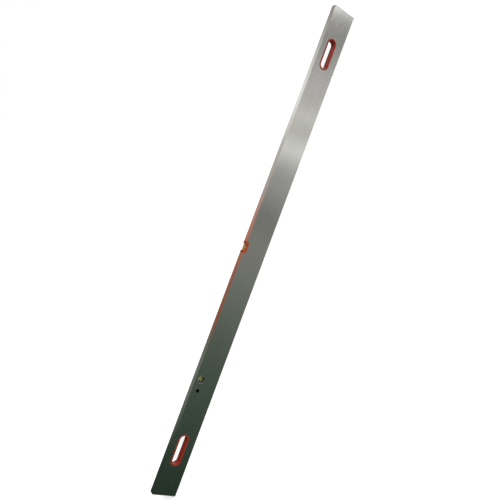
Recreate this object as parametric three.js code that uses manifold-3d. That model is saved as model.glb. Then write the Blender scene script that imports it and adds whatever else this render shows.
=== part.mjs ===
// Hand screeding straightedge with two spirit vials, in millimetres.
// X runs along the bar, -Y is the front face and +Z is up; the bar stands on its lower narrow
// edge, with the origin on that edge at mid-length and mid-thickness.
import * as THREE from 'three';
import { mergeVertices } from 'three/addons/utils/BufferGeometryUtils.js';
import Module from 'manifold-3d';

const wasm = await Module();
wasm.setup();

// ---- driving dimensions -------------------------------------------------------------------
const BAR = { length: 2000, height: 100, depth: 24 };
const PROFILE = { faceWall: 1.8, edgeWall: 2.4, corner: 1.8, innerCorner: 0.8, web: 1.5 };
const WEB_HEIGHTS = [30, 82];
const CAP = { flange: 2, edgeRound: 0.7, plugDepth: 18, plugWall: 2, taper: 0.6 };
const SLOT = { offset: 817, height: 54.4, length: 127.5, width: 43, lip: 6, wallOverlap: 3.4 };
const LIP = { proud: 1.2, round: 1.1, overlap: 0.1, lap: 3, lapWall: 1 };
const HOOK = { places: [-32, 32], length: 10, catch: 0.9, run: 3.2, root: 0.3 };
const NOTCH = { width: 48.5, depth: 13.5, corner: 11 };
const SADDLE = { proud: 0.4, top: 99.7, footInset: 2, edge: 0.5 };
const SADDLE_WINDOW = { width: 29, depth: 7, corner: 6 };
const BLOCK = { length: 30, depth: 18, top: 98.8, bottom: 88.4, corner: 0.8, edge: 0.4 };
const LEVEL = { axis: 93.6, bore: 3.3, crown: 0.25, line: 5, plug: 3, bubble: 9, float: 0.2 };
const SCREW = { offset: 19.4, shank: 1.4, head: 2.7, top: 98.9, rim: 0.4, cone: 1.6, tip: 79.5 };
const SCREW_POINT = { radius: 0.3, height: 2 };
const RECESS = { width: 0.8, length: 3.2, depth: 1.1 };
const PLUMB = { x: -534, z: 76, cut: 15.2, sleeve: 14.9, flange: 16.4, proud: 1, round: 0.5 };
const PLUMB_BORE = { inside: 13.4, lip: 12.8, mouth: 2.6, grooveWidth: 1.5, web: 2.6 };
const LENS = { radius: 13.9, thickness: 1.1, edge: 0.2, play: 0.2 };
const TUBE = { radius: 5.2, bore: 4, crown: 0.3, length: 26.4, line: 4.2, plug: 2.4, bubble: 7 };
const SEAT = { width: 13, depth: 7, inner: 11.2, play: 0.25 };
const LINE = { width: 0.8, thickness: 0.35, play: 0.05 };
const PLUG = { play: 0.1, chamfer: 0.4, dish: 0.6 };
const BUBBLE = { play: 0.35, stop: 0.3, steps: 8 };
const PEG_HOLE = { x: -578.3, z: 73, radius: 6.8 };
const GAP = 0.3;
const THIN_GAP = 0.1;
const CORNER_STEPS = 2;
const HALF_ROUND_STEPS = 10;
const CRADLE_STEPS = 5;
const TURN_STEPS = 28;
const SMALL_TURN_STEPS = 16;
const EDGE_STEPS = 2;
const CROWN_STEPS = 4;
const MOUTH_STEPS = 3;

const FACE = BAR.depth / 2;
const CAVITY = FACE - PROFILE.faceWall;
const THROUGH = 3 * BAR.depth;
const ORIGIN = [0, 0, 0];
const PROFILE_LENGTH = BAR.length - 2 * (CAP.flange + THIN_GAP);
const NOTCH_FLOOR = BAR.height - NOTCH.depth;
const UPPER_WEB_TOP = WEB_HEIGHTS[1] + PROFILE.web / 2;

// ---- materials ----------------------------------------------------------------------------
const paint = (color, roughness, metalness) =>
  new THREE.MeshStandardMaterial({ color, roughness, metalness });
const aluminium = () => paint(0x9a9a96, 0.35, 1);
const orangePlastic = () => paint(0xc0401c, 0.45, 0);
const blackPlastic = () => paint(0x2a2725, 0.5, 0);
const spiritGreen = () => paint(0xa8c020, 0.15, 0);
const clearPlastic = () => paint(0xe8ece8, 0.08, 0);
const bubbleGas = () => paint(0xeef4c8, 0.1, 0);
const blackInk = () => paint(0x111111, 0.6, 0);
const zincSteel = () => paint(0xb8b8b4, 0.3, 1);

// ---- solids -------------------------------------------------------------------------------
function toSolid(geometry) {
  geometry.deleteAttribute('normal');
  geometry.deleteAttribute('uv');
  const merged = mergeVertices(geometry, 1e-4);
  return new wasm.Manifold(new wasm.Mesh({
    numProp: 3,
    vertProperties: merged.attributes.position.array,
    triVerts: merged.index.array,
  }));
}

function toGeometry(solid) {
  const mesh = solid.getMesh();
  const geometry = new THREE.BufferGeometry();
  geometry.setAttribute('position', new THREE.BufferAttribute(mesh.vertProperties, mesh.numProp));
  geometry.setIndex(new THREE.BufferAttribute(mesh.triVerts, 1));
  geometry.computeVertexNormals();
  return geometry;
}

// For each axis: where an outline's first and second directions and its extrusion point.
const X = new THREE.Vector3(1, 0, 0);
const Y = new THREE.Vector3(0, 1, 0);
const Z = new THREE.Vector3(0, 0, 1);
const EXTRUDE_BASIS = {
  x: new THREE.Matrix4().makeBasis(Y, Z, X),
  y: new THREE.Matrix4().makeBasis(X, Z, Y.clone().negate()),
};
const TURN_BASIS = {
  x: new THREE.Matrix4().makeRotationZ(-Math.PI / 2),
  y: new THREE.Matrix4(),
  z: new THREE.Matrix4().makeRotationX(Math.PI / 2),
};

// An outline extruded along an axis, centred on the point `at`.
function prism(outline, depth, axis, { at = ORIGIN, edgeRound = 0, steps = CORNER_STEPS }) {
  const geometry = new THREE.ExtrudeGeometry(outline, {
    depth: depth - 2 * edgeRound,
    curveSegments: steps,
    bevelEnabled: edgeRound > 0,
    bevelThickness: edgeRound,
    bevelSize: edgeRound,
    bevelOffset: -edgeRound,
    bevelSegments: EDGE_STEPS,
  });
  geometry.translate(0, 0, edgeRound - depth / 2);
  geometry.applyMatrix4(EXTRUDE_BASIS[axis]);
  geometry.translate(...at);
  return toSolid(geometry);
}

function box(low, high) {
  const size = low.map((value, i) => high[i] - value);
  const geometry = new THREE.BoxGeometry(...size);
  geometry.translate(...low.map((value, i) => value + size[i] / 2));
  return toSolid(geometry);
}

// An outline of [radius, place along the axis] points, turned about an axis through `at`.
function turned(points, axis, at = ORIGIN, steps = TURN_STEPS) {
  const outline = points.map(([radius, along]) => new THREE.Vector2(radius, along));
  if (THREE.ShapeUtils.area(outline) < 0) outline.reverse();
  if (outline[0].x > 0) outline.push(outline[0].clone());
  const geometry = new THREE.LatheGeometry(outline, steps);
  geometry.applyMatrix4(TURN_BASIS[axis]);
  geometry.translate(...at);
  return toSolid(geometry);
}

const rod = (radius, from, to, axis, at) =>
  turned([[0, from], [radius, from], [radius, to], [0, to]], axis, at);

// ---- outlines -----------------------------------------------------------------------------
function roundedRect(width, height, radius) {
  const right = width / 2 - radius;
  const top = height / 2 - radius;
  const outline = new THREE.Shape();
  outline.absarc(right, top, radius, 0, 0.5 * Math.PI);
  outline.absarc(-right, top, radius, 0.5 * Math.PI, Math.PI);
  outline.absarc(-right, -top, radius, Math.PI, 1.5 * Math.PI);
  outline.absarc(right, -top, radius, 1.5 * Math.PI, 2 * Math.PI);
  outline.closePath();
  return outline;
}

function stadium(length, width, Kind = THREE.Shape) {
  const centre = (length - width) / 2;
  const outline = new Kind();
  outline.absarc(centre, 0, width / 2, -0.5 * Math.PI, 0.5 * Math.PI);
  outline.absarc(-centre, 0, width / 2, 0.5 * Math.PI, 1.5 * Math.PI);
  outline.closePath();
  return outline;
}

// A band of the hand slot's outline, between two distances in from the lip's outer edge.
function slotBand(outer, inner) {
  const band = stadium(SLOT.length - 2 * outer, SLOT.width - 2 * outer);
  band.holes.push(stadium(SLOT.length - 2 * inner, SLOT.width - 2 * inner, THREE.Path));
  return band;
}

// A U-shaped outline with its floor at height 0 and rounded lower corners.
function cradle(width, height, corner) {
  const side = width / 2 - corner;
  const outline = new THREE.Shape();
  outline.absarc(-side, corner, corner, Math.PI, 1.5 * Math.PI);
  outline.absarc(side, corner, corner, 1.5 * Math.PI, 2 * Math.PI);
  outline.lineTo(width / 2, height);
  outline.lineTo(-width / 2, height);
  outline.closePath();
  return outline;
}

function polygon(points) {
  return new THREE.Shape(points.map(([x, y]) => new THREE.Vector2(x, y)));
}

// ---- aluminium profile --------------------------------------------------------------------
// The three chambers between the webs, as [lowest, highest] heights.
function chamberHeights() {
  const half = PROFILE.web / 2;
  const floors = [PROFILE.edgeWall, ...WEB_HEIGHTS.map((z) => z + half)];
  const tops = [...WEB_HEIGHTS.map((z) => z - half), BAR.height - PROFILE.edgeWall];
  return floors.map((floor, i) => [floor, tops[i]]);
}

// The space of one chamber between two places along the bar, drawn in from its walls by `inset`.
function chamber([floor, top], inset, from, to) {
  const outline = roundedRect(2 * (CAVITY - inset), top - floor - 2 * inset,
    PROFILE.innerCorner);
  return prism(outline, to - from, 'x', { at: [(from + to) / 2, 0, (floor + top) / 2] });
}

function makeProfile() {
  const section = roundedRect(BAR.depth, BAR.height, PROFILE.corner);
  let bar = prism(section, PROFILE_LENGTH, 'x', { at: [0, 0, BAR.height / 2] });
  for (const heights of chamberHeights()) {
    bar = bar.subtract(chamber(heights, 0, -BAR.length, BAR.length));
  }
  const slot = stadium(SLOT.length - 2 * SLOT.wallOverlap, SLOT.width - 2 * SLOT.wallOverlap);
  for (const side of [-1, 1]) {
    const slotPlace = [side * SLOT.offset, 0, SLOT.height];
    const screwPlace = [side * SCREW.offset, 0, 0];
    bar = bar
      .subtract(prism(slot, THROUGH, 'y', { at: slotPlace, steps: HALF_ROUND_STEPS }))
      .subtract(rod(SCREW.shank + GAP, SLOT.height, NOTCH_FLOOR, 'z', screwPlace));
  }
  const notch = prism(cradle(NOTCH.width, BAR.height, NOTCH.corner), THROUGH, 'y',
    { at: [0, 0, NOTCH_FLOOR], steps: CRADLE_STEPS });
  return bar
    .subtract(notch)
    .subtract(rod(PLUMB.cut, -BAR.depth, BAR.depth, 'y', [PLUMB.x, 0, PLUMB.z]))
    .subtract(rod(PEG_HOLE.radius, -BAR.depth, BAR.depth, 'y', [PEG_HOLE.x, 0, PEG_HOLE.z]));
}

// ---- end caps -----------------------------------------------------------------------------
// For the +X end: the flange's inner side is at x = 0 and three hollow plugs point to -X.
function makeEndCap() {
  const section = roundedRect(BAR.depth, BAR.height, PROFILE.corner);
  const plate = prism(section, 2 * CAP.flange, 'x',
    { at: [0, 0, BAR.height / 2], edgeRound: CAP.edgeRound });
  const outside = box([0, -BAR.depth, -BAR.height], [BAR.depth, BAR.depth, 2 * BAR.height]);
  let cap = plate.intersect(outside);
  const root = CAP.flange / 2;
  for (const heights of chamberHeights()) {
    const sleeve = chamber(heights, GAP, -CAP.plugDepth, root);
    const nose = chamber(heights, GAP + CAP.taper, -CAP.plugDepth - CAP.plugWall, root);
    const hollow = chamber(heights, GAP + CAP.plugWall, -2 * CAP.plugDepth, 0);
    cap = cap.add(sleeve.add(nose).subtract(hollow));
  }
  return cap;
}

// ---- hand slot liners ---------------------------------------------------------------------
// The front half: a rounded lip on the face, a sleeve to mid-thickness and four snap hooks.
function makeSlotHalf(slidesInside) {
  const seat = -FACE - THIN_GAP;
  const ring = prism(slotBand(0, SLOT.lip), 2 * LIP.proud, 'y',
    { at: [0, seat, 0], edgeRound: LIP.round, steps: HALF_ROUND_STEPS });
  const inFront = box([-SLOT.length, -BAR.depth, -SLOT.width], [SLOT.length, seat, SLOT.width]);
  const outer = SLOT.wallOverlap + GAP;
  const sleeveFrom = seat - LIP.overlap;
  const sleeveTo = -GAP / 2;
  const sleeve = prism(slotBand(outer, SLOT.lip), sleeveTo - sleeveFrom, 'y',
    { at: [0, (sleeveFrom + sleeveTo) / 2, 0], steps: HALF_ROUND_STEPS });
  const shell = ring.intersect(inFront).add(sleeve);
  const half = slidesInside
    ? shell.add(prism(slotBand(SLOT.lip - LIP.lapWall, SLOT.lip), 2 * LIP.lap, 'y',
      { steps: HALF_ROUND_STEPS }))
    : shell.subtract(prism(slotBand(SLOT.lip - LIP.lapWall - GAP, SLOT.lip + GAP),
      2 * (LIP.lap + GAP), 'y', { steps: HALF_ROUND_STEPS }));
  return snapHooks(SLOT.width / 2 - outer).reduce((all, hook) => all.add(hook), half);
}

// Hooks on the sleeve's upper and lower runs, which catch behind the face wall.
function snapHooks(sleeveHeight) {
  const behindWall = -CAVITY + GAP;
  const places = HOOK.places.flatMap((x) => [[x, 1], [x, -1]]);
  return places.map(([x, side]) => prism(polygon([
    [behindWall, side * (sleeveHeight - HOOK.root)],
    [behindWall, side * (sleeveHeight + GAP + HOOK.catch)],
    [behindWall + HOOK.run, side * sleeveHeight],
    [behindWall + HOOK.run, side * (sleeveHeight - HOOK.root)],
  ]), HOOK.length, 'x', { at: [x, 0, 0] }));
}

// ---- level vial at mid-length -------------------------------------------------------------
function makeSaddle() {
  const floor = NOTCH_FLOOR + GAP;
  const outline = cradle(NOTCH.width - 2 * GAP, SADDLE.top - floor, NOTCH.corner - GAP);
  const body = prism(outline, 2 * (FACE + SADDLE.proud), 'y',
    { at: [0, 0, floor], edgeRound: SADDLE.edge, steps: CRADLE_STEPS });
  const footX = NOTCH.width / 2 - SADDLE.footInset;
  const foot = box([-footX, -CAVITY + GAP, UPPER_WEB_TOP + GAP],
    [footX, CAVITY - GAP, BLOCK.bottom]);
  const pocketX = BLOCK.length / 2 + GAP;
  const pocketY = BLOCK.depth / 2 + GAP;
  const pocket = box([-pocketX, -pocketY, BLOCK.bottom - GAP], [pocketX, pocketY, BAR.height]);
  const window = prism(cradle(SADDLE_WINDOW.width, BAR.height, SADDLE_WINDOW.corner), THROUGH,
    'y', { at: [0, 0, BAR.height - SADDLE_WINDOW.depth], steps: CRADLE_STEPS });
  const holes = [-1, 1].map((side) => turned(screwOutline(GAP, BAR.height), 'z',
    [side * SCREW.offset, 0, 0]));
  return holes.reduce((all, hole) => all.subtract(hole),
    body.add(foot).subtract(pocket).subtract(window));
}

// The countersunk screw's outline, grown by `play` for the hole that takes it.
function screwOutline(play, top) {
  const rim = SCREW.top - SCREW.rim - play;
  return [
    [0, SCREW.tip - play],
    [SCREW_POINT.radius + play, SCREW.tip - play],
    [SCREW.shank + play, SCREW.tip + SCREW_POINT.height - play],
    [SCREW.shank + play, rim - SCREW.cone],
    [SCREW.head + play, rim],
    [SCREW.head + play, top],
    [0, top],
  ];
}

function makeScrew() {
  const floor = SCREW.top - RECESS.depth;
  const long = RECESS.length / 2;
  const narrow = RECESS.width / 2;
  return turned(screwOutline(0, SCREW.top), 'z')
    .subtract(box([-long, -narrow, floor], [long, narrow, BAR.height]))
    .subtract(box([-narrow, -long, floor], [narrow, long, BAR.height]));
}

// A vial's bore, a little wider at mid-length than at its ends.
function crownedBore(bore, crown, length) {
  const steps = Array.from({ length: CROWN_STEPS + 1 }, (_, i) => 2 * i / CROWN_STEPS - 1);
  return steps.map((t) => [bore + crown * (1 - t * t), t * length / 2]);
}

function makeVialBlock() {
  const height = BLOCK.top - BLOCK.bottom;
  const middle = (BLOCK.top + BLOCK.bottom) / 2 - LEVEL.axis;
  const outline = roundedRect(BLOCK.length, height, BLOCK.corner);
  const block = prism(outline, BLOCK.depth, 'y', { at: [0, 0, middle], edgeRound: BLOCK.edge });
  const half = BLOCK.length / 2;
  const bore = crownedBore(LEVEL.bore, LEVEL.crown, BLOCK.length);
  return block.subtract(turned([[0, -half - GAP], [LEVEL.bore, -half - GAP], ...bore,
    [LEVEL.bore, half + GAP], [0, half + GAP]], 'x'));
}

// ---- pieces that both vials have ----------------------------------------------------------
function makePlug(bore, length, axis) {
  const radius = bore - PLUG.play;
  return turned([[0, 0], [radius, 0], [radius, length - PLUG.chamfer],
    [radius - PLUG.chamfer, length], [radius / 2, length], [0, length - PLUG.dish]], axis,
  ORIGIN, SMALL_TURN_STEPS);
}

function makeLine(bore, axis) {
  const outer = bore - LINE.play;
  const inner = outer - LINE.thickness;
  const half = LINE.width / 2;
  return turned([[inner, -half], [outer, -half], [outer, half], [inner, half]], axis, ORIGIN,
    SMALL_TURN_STEPS);
}

function makeBubble(bore, length, axis) {
  const radius = bore - LINE.play - LINE.thickness - BUBBLE.play;
  const angles = Array.from({ length: BUBBLE.steps - 1 }, (_, i) => (i + 1) * Math.PI
    / BUBBLE.steps);
  const side = angles.map((a) => [radius * Math.sin(a), -length / 2 * Math.cos(a)]);
  return turned([[0, -length / 2], ...side, [0, length / 2]], axis, ORIGIN, SMALL_TURN_STEPS);
}

// ---- plumb vial near the -X end -----------------------------------------------------------
// The front half of the window's frame: a flange with a rounded mouth, the lens groove, a
// sleeve, and the web and two seats that hold the vial tube.
function makeBezel() {
  const front = -FACE - PLUMB.proud;
  const seat = -FACE - THIN_GAP;
  const grooveFront = front + PLUMB_BORE.mouth;
  const grooveBack = grooveFront + PLUMB_BORE.grooveWidth;
  const groove = LENS.radius + LENS.play;
  const middle = -GAP / 2;
  const ring = turned([
    [0, -PLUMB_BORE.web], [PLUMB_BORE.inside, -PLUMB_BORE.web],
    [PLUMB_BORE.inside, grooveBack], [groove, grooveBack], [groove, grooveFront],
    ...roundedMouth(front),
    [PLUMB.flange - PLUMB.round, front], [PLUMB.flange, front + PLUMB.round],
    [PLUMB.flange, seat], [PLUMB.sleeve, seat], [PLUMB.sleeve, middle], [0, middle],
  ], 'y');
  const half = SEAT.width / 2;
  const blocks = [1, -1].map((side) => {
    const heights = [side * SEAT.inner, side * PLUMB.sleeve].sort((a, b) => a - b);
    return box([-half, -SEAT.depth, heights[0]], [half, middle, heights[1]]);
  });
  const inside = rod((PLUMB_BORE.inside + PLUMB.sleeve) / 2, -FACE, middle, 'y');
  const tubeEnd = TUBE.length / 2 + SEAT.play;
  const tubeRoom = rod(TUBE.radius + SEAT.play, -tubeEnd, tubeEnd, 'z');
  return blocks.reduce((all, block) => all.add(block.intersect(inside)), ring)
    .subtract(tubeRoom);
}

// The quarter round from the lip's bore out to the flange's face.
function roundedMouth(front) {
  const { lip, mouth } = PLUMB_BORE;
  const angles = Array.from({ length: MOUTH_STEPS + 1 }, (_, i) => i * Math.PI / 2
    / MOUTH_STEPS);
  return angles.map((a) => [lip + mouth * (1 - Math.cos(a)), front + mouth * (1 - Math.sin(a))]);
}

function makeLens() {
  const half = LENS.thickness / 2;
  const rim = LENS.radius - LENS.edge;
  return turned([[0, -half], [rim, -half], [LENS.radius, LENS.edge - half],
    [LENS.radius, half - LENS.edge], [rim, half], [0, half]], 'y');
}

function makeVialTube() {
  const half = TUBE.length / 2;
  const bore = crownedBore(TUBE.bore, TUBE.crown, TUBE.length).reverse();
  return turned([[TUBE.radius, -half], [TUBE.radius, half], ...bore], 'z');
}

// ---- assembly -----------------------------------------------------------------------------
const NO_TURN = [0, 0, 0];
const HALF_TURN = [0, 0, Math.PI];
const UPSIDE_DOWN = [Math.PI, 0, 0];

function addPiece(parent, name, solid, material, at = ORIGIN, turn = NO_TURN) {
  const mesh = new THREE.Mesh(toGeometry(solid), material);
  mesh.name = name;
  mesh.position.set(...at);
  mesh.rotation.set(...turn);
  parent.add(mesh);
}

const straightedge = new THREE.Group();
const ENDS = [['left', -1], ['right', 1]];

addPiece(straightedge, 'straightedge_profile', makeProfile(), aluminium());

for (const [end, side] of ENDS) {
  const turn = side > 0 ? NO_TURN : HALF_TURN;
  const flangeSeat = side * (BAR.length / 2 - CAP.flange);
  addPiece(straightedge, `end_cap_${end}`, makeEndCap(), blackPlastic(), [flangeSeat, 0, 0], turn);
  const slotPlace = [side * SLOT.offset, 0, SLOT.height];
  addPiece(straightedge, `hand_slot_${end}_front`, makeSlotHalf(true), orangePlastic(),
    slotPlace);
  addPiece(straightedge, `hand_slot_${end}_back`, makeSlotHalf(false), orangePlastic(),
    slotPlace, HALF_TURN);
}

addPiece(straightedge, 'level_saddle', makeSaddle(), orangePlastic());
for (const [end, side] of ENDS) {
  addPiece(straightedge, `level_screw_${end}`, makeScrew(), zincSteel(),
    [side * SCREW.offset, 0, 0]);
}

const levelVial = new THREE.Group();
levelVial.position.set(0, 0, LEVEL.axis);
addPiece(levelVial, 'level_vial_block', makeVialBlock(), spiritGreen());
for (const [end, side] of ENDS) {
  const turn = side > 0 ? NO_TURN : HALF_TURN;
  addPiece(levelVial, `level_vial_plug_${end}`, makePlug(LEVEL.bore, LEVEL.plug, 'x'),
    blackPlastic(), [side * (BLOCK.length / 2 - LEVEL.plug), 0, 0], turn);
  addPiece(levelVial, `level_vial_line_${end}`, makeLine(LEVEL.bore, 'x'), blackInk(),
    [side * LEVEL.line, 0, 0]);
}
addPiece(levelVial, 'level_bubble', makeBubble(LEVEL.bore, LEVEL.bubble, 'x'), bubbleGas(),
  [0, 0, LEVEL.float]);
straightedge.add(levelVial);

const plumbVial = new THREE.Group();
plumbVial.position.set(PLUMB.x, 0, PLUMB.z);
const lensPlace = FACE + PLUMB.proud - PLUMB_BORE.mouth - PLUMB_BORE.grooveWidth / 2;
for (const [face, side] of [['front', -1], ['back', 1]]) {
  addPiece(plumbVial, `plumb_bezel_${face}`, makeBezel(), blackPlastic(), ORIGIN,
    side < 0 ? NO_TURN : HALF_TURN);
  addPiece(plumbVial, `plumb_lens_${face}`, makeLens(), clearPlastic(),
    [0, side * lensPlace, 0]);
}
addPiece(plumbVial, 'plumb_vial_tube', makeVialTube(), spiritGreen());
for (const [place, side] of [['lower', -1], ['upper', 1]]) {
  const turn = side > 0 ? NO_TURN : UPSIDE_DOWN;
  addPiece(plumbVial, `plumb_vial_plug_${place}`, makePlug(TUBE.bore, TUBE.plug, 'z'),
    blackPlastic(), [0, 0, side * (TUBE.length / 2 - TUBE.plug)], turn);
  addPiece(plumbVial, `plumb_vial_line_${place}`, makeLine(TUBE.bore, 'z'), blackInk(),
    [0, 0, side * TUBE.line]);
}
const bubbleRest = TUBE.length / 2 - TUBE.plug - TUBE.bubble / 2 - BUBBLE.stop;
addPiece(plumbVial, 'plumb_bubble', makeBubble(TUBE.bore, TUBE.bubble, 'z'), bubbleGas(),
  [0, 0, bubbleRest]);
straightedge.add(plumbVial);

export default straightedge;
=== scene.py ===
"""Looks of a hand screeding straightedge, built as an add-on layout round the fixed CAD frame."""
import math

import bmesh
import bpy
from bpy.props import FloatProperty, FloatVectorProperty, PointerProperty
from mathutils import Euler, Matrix, Vector


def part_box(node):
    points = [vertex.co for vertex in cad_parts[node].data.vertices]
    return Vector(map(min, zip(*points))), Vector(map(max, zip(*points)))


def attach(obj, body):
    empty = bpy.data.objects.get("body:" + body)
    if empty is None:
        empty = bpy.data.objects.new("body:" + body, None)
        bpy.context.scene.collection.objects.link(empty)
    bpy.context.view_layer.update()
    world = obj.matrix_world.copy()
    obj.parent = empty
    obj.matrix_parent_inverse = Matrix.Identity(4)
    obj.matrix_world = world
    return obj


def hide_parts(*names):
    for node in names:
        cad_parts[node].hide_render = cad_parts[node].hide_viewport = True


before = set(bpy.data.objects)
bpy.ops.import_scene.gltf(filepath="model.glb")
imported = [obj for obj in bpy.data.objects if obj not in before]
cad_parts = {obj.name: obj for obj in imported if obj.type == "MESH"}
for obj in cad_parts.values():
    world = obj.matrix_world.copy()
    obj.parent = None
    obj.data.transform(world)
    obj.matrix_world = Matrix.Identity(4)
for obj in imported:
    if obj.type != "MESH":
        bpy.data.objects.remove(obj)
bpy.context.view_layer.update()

bl_info = {
    "name": "Screeding Straightedge",
    "version": (1, 0, 0),
    "blender": (4, 5, 0),
    "location": "3D View > Sidebar > Straightedge",
    "description": "Models and finishes a hand screeding straightedge with two spirit vials",
    "category": "Add Mesh",
}

MM = 0.001
BAR = "straightedge"
ENDS = {"left": -1, "right": 1}
FACES = {"front": -1, "back": 1}
MERGE = 1e-7
SHARP_ANGLE = math.radians(35)
PLASTIC_SHINE = 0.2
WIDE_TURN = 96
TURN = 64
SMALL_TURN = 48
CORNER_SEGMENTS = 8
NOTCH_SEGMENTS = 12
SLOT_SEGMENTS = 32
SWEEP_STEPS = 40
EDGE_SEGMENTS = 3
RIM_STEPS = 4
LIP_STEPS = 6
CROWN_STEPS = 12
MOUTH_STEPS = 10
BURR_SEGMENTS = 2
BUBBLE_STEPS = 24
BUBBLE_FULLNESS = 0.85


def box_size(node):
    low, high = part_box(node)
    return high - low


def box_middle(node):
    low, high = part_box(node)
    return (low + high) / 2


# ---- settings ------------------------------------------------------------------------------
def length_setting(name, description, default):
    return FloatProperty(name=name, description=description, default=default, unit="LENGTH")


def colour_setting(name, description, default):
    return FloatVectorProperty(name=name, description=description, default=default, size=3,
                               subtype="COLOR", min=0, max=1)


class ProfileSettings(bpy.types.PropertyGroup):
    face_wall: length_setting("Face wall", "Thickness of the wide walls", 1.8 * MM)
    edge_wall: length_setting("Edge wall", "Thickness of the narrow walls", 2.4 * MM)
    corner: length_setting("Corner", "Radius of the four long edges", 1.8 * MM)
    chamber_corner: length_setting("Chamber corner", "Radius inside the chambers", 0.8 * MM)
    web: length_setting("Web", "Thickness of the two inner webs", 1.5 * MM)
    lower_web: length_setting("Lower web", "Height of the lower web's middle", 30 * MM)
    upper_web: length_setting("Upper web", "Height of the upper web's middle", 82 * MM)
    notch_width: length_setting("Notch width", "Width of the level vial's notch", 48.5 * MM)
    notch_depth: length_setting("Notch depth", "Depth of the notch in the top edge", 13.5 * MM)
    notch_corner: length_setting("Notch corner", "Radius of the notch's lower corners", 11 * MM)
    window: length_setting("Window", "Radius of the plumb window's cut-out", 15.2 * MM)
    peg_radius: length_setting("Peg hole", "Radius of the peg hole", 6.8 * MM)
    peg_offset: length_setting("Peg offset", "Peg hole to window centre", 44.3 * MM)
    peg_height: length_setting("Peg height", "Height of the peg hole's centre", 73 * MM)
    burr: length_setting("Deburring", "Width of the bevel on cut edges", 0.25 * MM)
    colour: colour_setting("Aluminium", "Colour of the bare extrusion", (0.60, 0.60, 0.585))


class SlotSettings(bpy.types.PropertyGroup):
    lip: length_setting("Lip", "Width of the liner's lip on the face", 6 * MM)
    overlap: length_setting("Overlap", "How far the lip covers the bar's face", 3.4 * MM)
    seat_gap: length_setting("Seat gap", "Gap between lip and face", 0.1 * MM)
    round: length_setting("Lip round", "Radius of the lip's edges", 1.1 * MM)
    play: length_setting("Play", "Gap between liner and cut-out", 0.3 * MM)
    lap: length_setting("Lap", "Depth that the halves overlap at mid-thickness", 3 * MM)
    lap_wall: length_setting("Lap wall", "Thickness of the overlapping tongue", 1 * MM)
    colour: colour_setting("Liner", "Colour of the orange-red moulding", (0.23, 0.017, 0.005))


class VialSettings(bpy.types.PropertyGroup):
    spirit: colour_setting("Spirit", "Colour of the spirit", (0.60, 0.80, 0.08))
    level_spirit: colour_setting("Level spirit", "Tint of the spirit in the level vial",
                                 (0.40, 0.30, 0.04))
    plug: colour_setting("Plug", "Colour of the vial plugs", (0.02, 0.02, 0.02))
    block: colour_setting("Block", "Colour of the vial block round its bore", (0.62, 0.27, 0.08))
    bezel: colour_setting("Bezel", "Colour of the plumb window's frame", (0.04, 0.045, 0.039))
    # Painted light: the web colour is a paler grey that lifts the shade inside the plumb window's recess,
    # and painted_light_depth is how far from the bar's middle that paler grey holds.
    web: colour_setting("Web", "Colour of the web behind the plumb vial", (0.075, 0.08, 0.06))
    painted_light_depth: length_setting("Web depth", "Half thickness of the two webs together", 8 * MM)
    saddle: colour_setting("Saddle", "Colour of the orange saddle", (0.30, 0.048, 0.014))
    window_width: length_setting("Window width", "Width of the saddle's window", 29 * MM)
    window_depth: length_setting("Window depth", "Saddle's window below the top edge", 7 * MM)
    window_corner: length_setting("Window corner", "Radius of its lower corners", 6 * MM)
    level_bore: length_setting("Level bore", "Radius of the level vial's bore", 3.3 * MM)
    level_crown: length_setting("Level crown", "Extra bore radius at mid-length", 0.25 * MM)
    plumb_bore: length_setting("Plumb bore", "Radius of the plumb vial's bore", 4 * MM)
    plumb_crown: length_setting("Plumb crown", "Extra bore radius at mid-length", 0.3 * MM)
    saddle_edge: length_setting("Saddle edge", "Radius of the saddle's long rims", 0.5 * MM)
    saddle_burr: length_setting("Saddle burr", "Bevel on the saddle's cut edges", 0.2 * MM)
    foot_inset: length_setting("Foot inset", "How far the foot stands in at each end", 2 * MM)
    block_edge: length_setting("Block edge", "Radius of the vial block's edges", 0.5 * MM)
    tube_edge: length_setting("Tube edge", "Radius of the plumb tube's rims", 0.4 * MM)
    line_wall: length_setting("Line", "Thickness of the marker lines", 0.35 * MM)


class ScrewSettings(bpy.types.PropertyGroup):
    shank: length_setting("Shank", "Radius of the saddle screws", 1.4 * MM)
    point: length_setting("Point", "Radius of the screw's tip", 0.3 * MM)
    taper: length_setting("Taper", "Length of the tip's cone, and of the head's", 2 * MM)
    rim: length_setting("Rim", "Straight rim of the countersunk head", 0.4 * MM)
    pitch: length_setting("Pitch", "Pitch of the thread", 1.1 * MM)
    thread: length_setting("Thread", "Depth of the thread", 0.3 * MM)
    cross: length_setting("Cross", "Half length of the cross recess", 1.6 * MM)
    cross_width: length_setting("Cross width", "Half width of the recess", 0.4 * MM)
    cross_depth: length_setting("Cross depth", "Depth of the recess", 1.1 * MM)
    burr: length_setting("Burr", "Bevel on the recess's edges", 0.08 * MM)


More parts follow.
